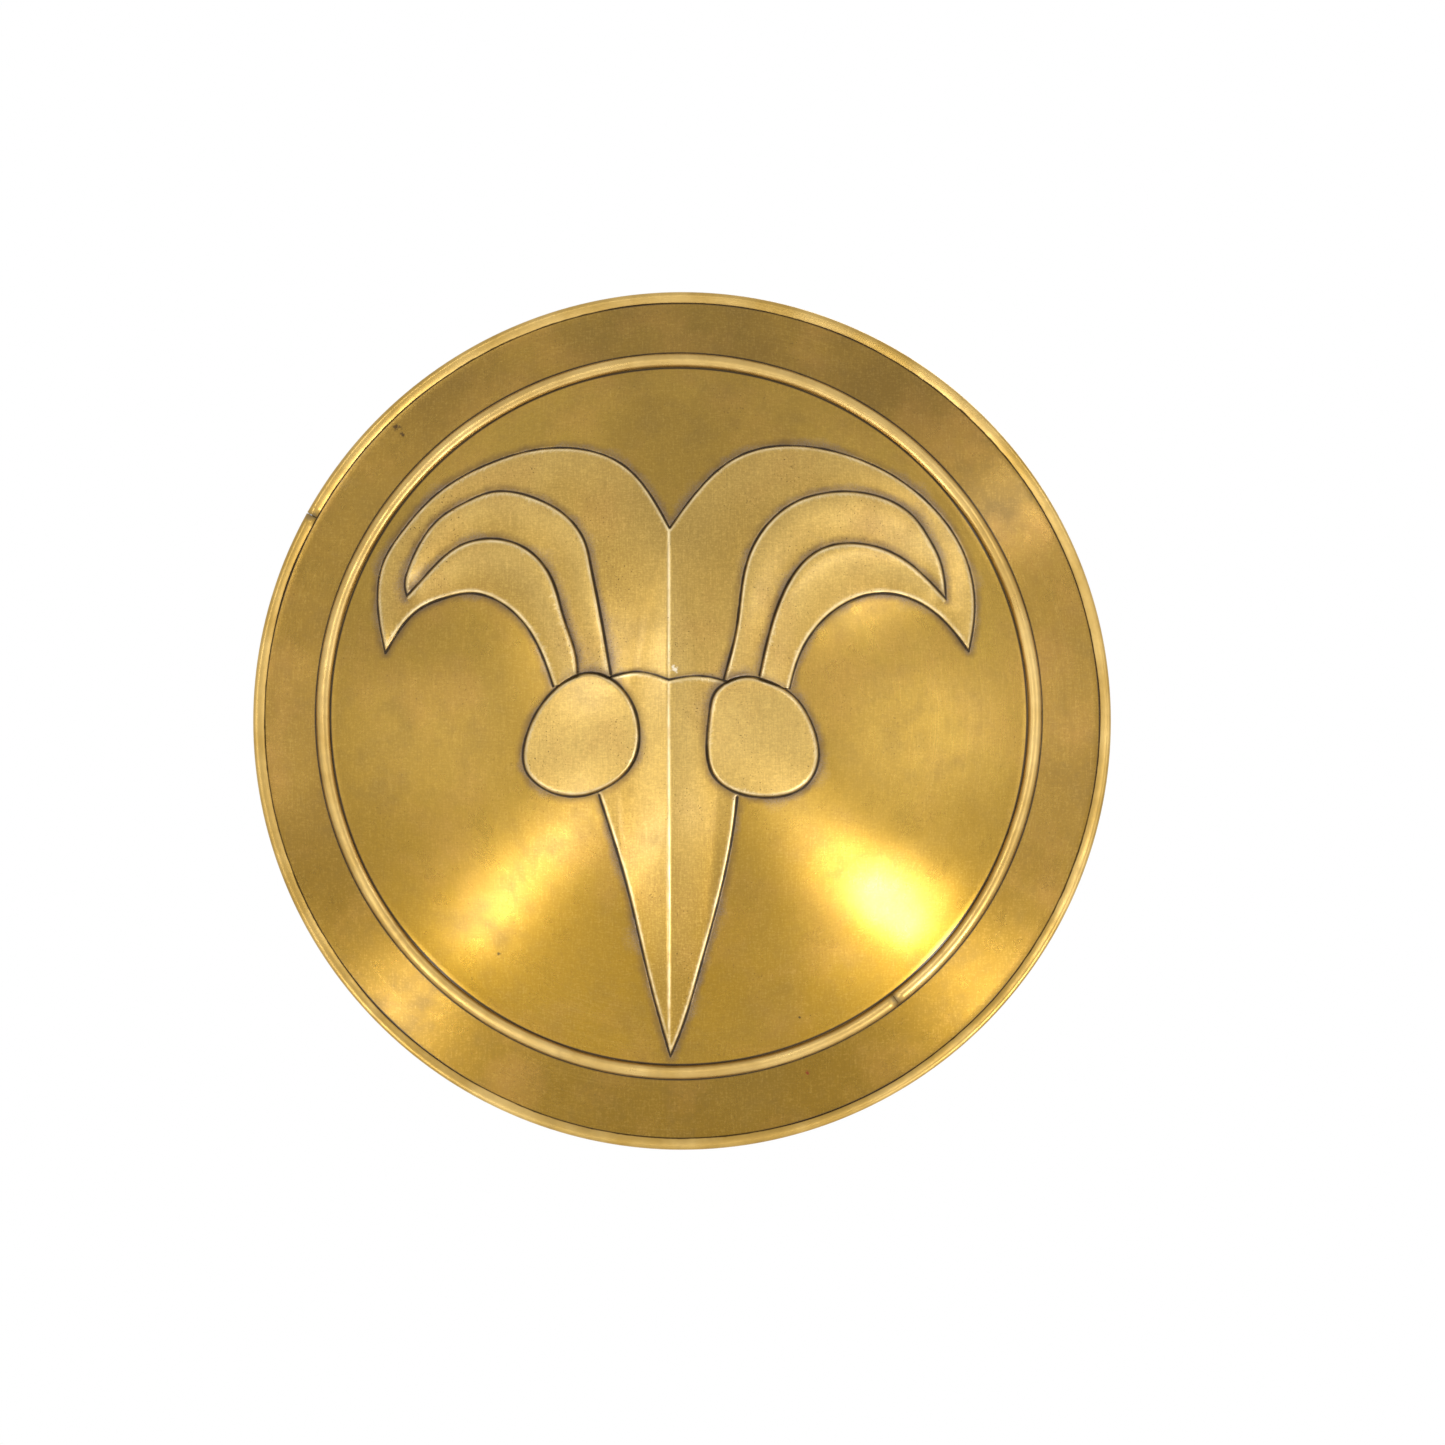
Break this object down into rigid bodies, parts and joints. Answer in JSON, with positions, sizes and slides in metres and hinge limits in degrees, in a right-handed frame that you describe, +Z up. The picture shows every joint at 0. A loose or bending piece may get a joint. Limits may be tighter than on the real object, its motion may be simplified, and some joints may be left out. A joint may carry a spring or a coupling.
{
  "type": "shield",
  "caption": "Round brass shield: a low dome chased with a horned head inside a half-round bead, a bound rim, and an arm strap and swinging hand grip behind.",
  "frame": {"origin": "centre of the rim, on the plane of its dressed back edge", "axes": "+X right as the shield is seen from the front, +Y from the face to the bearer, +Z up; the face looks along -Y"},
  "size_m": [0.6096, 0.0829, 0.6096],
  "materials": {
    "brass_sheet": "worn polish, patina in the lines",
    "brass_fittings": "satin",
    "steel": "satin, darkened",
    "copper": "satin, darkened",
    "leather": "waxed",
    "wood": "oiled"
  },
  "bodies": {
    "shield": {"face_sheet": "brass_sheet", "bead_ring": "brass_sheet", "rim_binding": "brass_sheet", "rim_wire": "steel", "arm_staple_upper": "brass_fittings", "arm_staple_lower": "brass_fittings", "strap_short": "leather", "strap_long": "leather", "buckle_frame": "brass_fittings", "upper_rivets": "copper", "upper_burrs": "copper", "lower_rivets": "copper", "lower_burrs": "copper", "grip_eye_upper": "brass_fittings", "grip_eye_lower": "brass_fittings", "hang_clip": "brass_fittings"},
    "grip": {"grip_bail": "steel", "grip_core": "wood", "grip_wrap": "leather", "grip_ferrule_upper": "brass_fittings", "grip_ferrule_lower": "brass_fittings"},
    "tongue": {"buckle_tongue": "brass_fittings"},
    "keeper": {"strap_keeper": "leather"},
    "ring": {"hang_ring": "steel"}
  },
  "joints": [
    {"name": "grip_swing", "type": "hinge", "parent": "shield", "child": "grip", "pos_m": [-0.14687, -0.04349, 0.0032], "axis": [0, 0, 1], "range_deg": [-80, 80]},
    {"name": "tongue_hinge", "type": "hinge", "parent": "shield", "child": "tongue", "pos_m": [0.11064, -0.01433, -0.0008], "axis": [0.9709, 0.2395, 0], "range_deg": [0, 50]},
    {"name": "keeper_slide", "type": "slide", "parent": "shield", "child": "keeper", "axis": [0, 0, 1], "range_m": [0, 0.018]},
    {"name": "ring_swing", "type": "hinge", "parent": "shield", "child": "ring", "pos_m": [-0.0023, -0.02141, 0.22661], "axis": [1, 0, 0], "range_deg": [-10, 150]}
  ]
}
